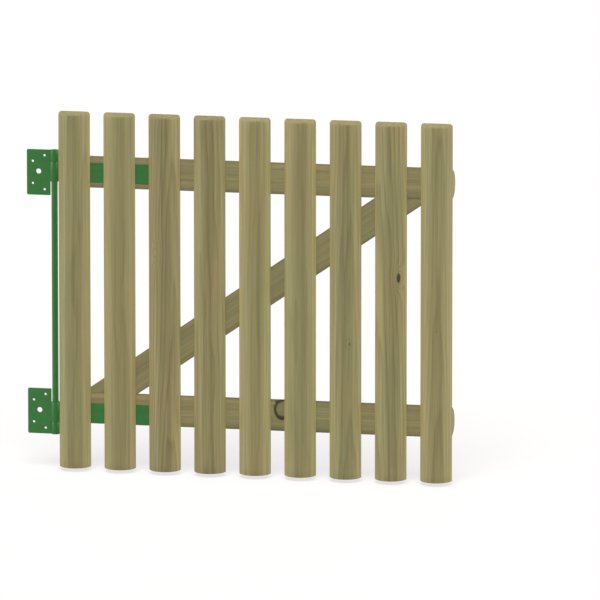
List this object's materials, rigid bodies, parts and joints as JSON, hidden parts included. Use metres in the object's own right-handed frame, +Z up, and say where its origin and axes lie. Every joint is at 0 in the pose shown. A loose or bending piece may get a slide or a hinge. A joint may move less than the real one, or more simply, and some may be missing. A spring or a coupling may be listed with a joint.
{
  "type": "garden gate",
  "caption": "Picket garden gate of half-round timber with a diagonal brace, hung on a long green steel rod hinge with screw-on post plates.",
  "frame": {"origin": "midway between the two large bolt holes of the post plates, on the plates' back face", "axes": "+X from the post along the closed leaf to its free side, +Y from the pickets to the rails and into the post's face, +Z up"},
  "size_m": [1.0824, 0.08, 0.8999],
  "materials": {
    "picket_timber": "pressure-treated softwood with a smooth machined round face, olive-brown",
    "rail_timber": "pressure-treated softwood with a sawn flat face, olive-brown",
    "green_steel": "satin powder coat, mid green",
    "zinc_steel": "bright zinc plate"
  },
  "bodies": {
    "post_hinges": {"upper_post_plate": "green_steel", "lower_post_plate": "green_steel", "upper_post_knuckle": "green_steel", "lower_post_knuckle": "green_steel", "hinge_rod": "green_steel"},
    "leaf": {"picket_1": "picket_timber", "picket_2": "picket_timber", "picket_3": "picket_timber", "picket_4": "picket_timber", "picket_5": "picket_timber", "picket_6": "picket_timber", "picket_7": "picket_timber", "picket_8": "picket_timber", "picket_9": "picket_timber", "upper_rail": "rail_timber", "lower_rail": "rail_timber", "diagonal_brace": "rail_timber", "upper_strap": "green_steel", "lower_strap": "green_steel", "upper_strap_knuckle": "green_steel", "lower_strap_knuckle": "green_steel", "strap_bolts": "zinc_steel", "strap_washers": "zinc_steel", "strap_nuts": "zinc_steel", "picket_screws": "zinc_steel", "brace_screws": "zinc_steel"}
  },
  "joints": [
    {"name": "leaf_swing", "type": "hinge", "parent": "post_hinges", "child": "leaf", "pos_m": [0.04035, -0.0025, 0], "axis": [0, 0, -1], "range_deg": [0, 110]}
  ]
}
